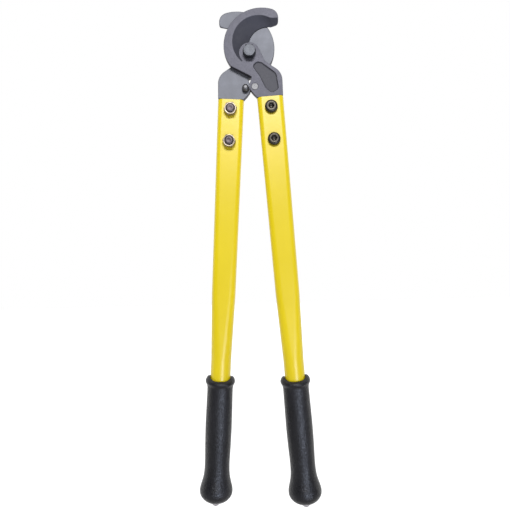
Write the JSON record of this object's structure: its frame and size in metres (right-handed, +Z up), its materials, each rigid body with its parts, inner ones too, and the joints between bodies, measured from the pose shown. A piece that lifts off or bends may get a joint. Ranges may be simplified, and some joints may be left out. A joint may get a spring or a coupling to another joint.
{
  "type": "cable cutter",
  "caption": "Long-handled bypass cable cutter: hooked steel blades on one pivot, flattened tube handles and bulb-ended rubber grips.",
  "frame": {"origin": "on the pivot's axis, midway between the two blades", "axes": "+Z up from the handles to the jaws, +X to the right, -Y to the front, along the pivot bolt's head"},
  "size_m": [0.1468, 0.0476, 0.5976],
  "materials": {
    "forged_steel": "forged, tumbled and oiled, satin",
    "yellow_paint": "powder coat, semi-gloss",
    "black_rubber": "moulded, satin",
    "black_steel": "black oxide, semi-gloss",
    "zinc_plate": "bright zinc plate",
    "pivot_steel": "turned, bright",
    "hard_pin_steel": "ground, bright"
  },
  "bodies": {
    "left_half": {"rear_blade": "forged_steel", "left_handle_tube": "yellow_paint", "left_grip": "black_rubber", "rear_stop_pin": "hard_pin_steel", "left_upper_screw": "black_steel", "left_upper_nut": "zinc_plate", "left_lower_screw": "black_steel", "left_lower_nut": "zinc_plate", "pivot_bolt": "pivot_steel", "pivot_washer": "pivot_steel", "pivot_nut": "pivot_steel"},
    "right_half": {"front_blade": "forged_steel", "right_handle_tube": "yellow_paint", "right_grip": "black_rubber", "front_stop_pin": "hard_pin_steel", "right_upper_screw": "black_steel", "right_upper_nut": "zinc_plate", "right_lower_screw": "black_steel", "right_lower_nut": "zinc_plate"}
  },
  "joints": [
    {"name": "pivot_hinge", "type": "hinge", "parent": "left_half", "child": "right_half", "pos_m": [0, 0, 0], "axis": [0, -1, 0], "range_deg": [-1.7, 118]}
  ]
}
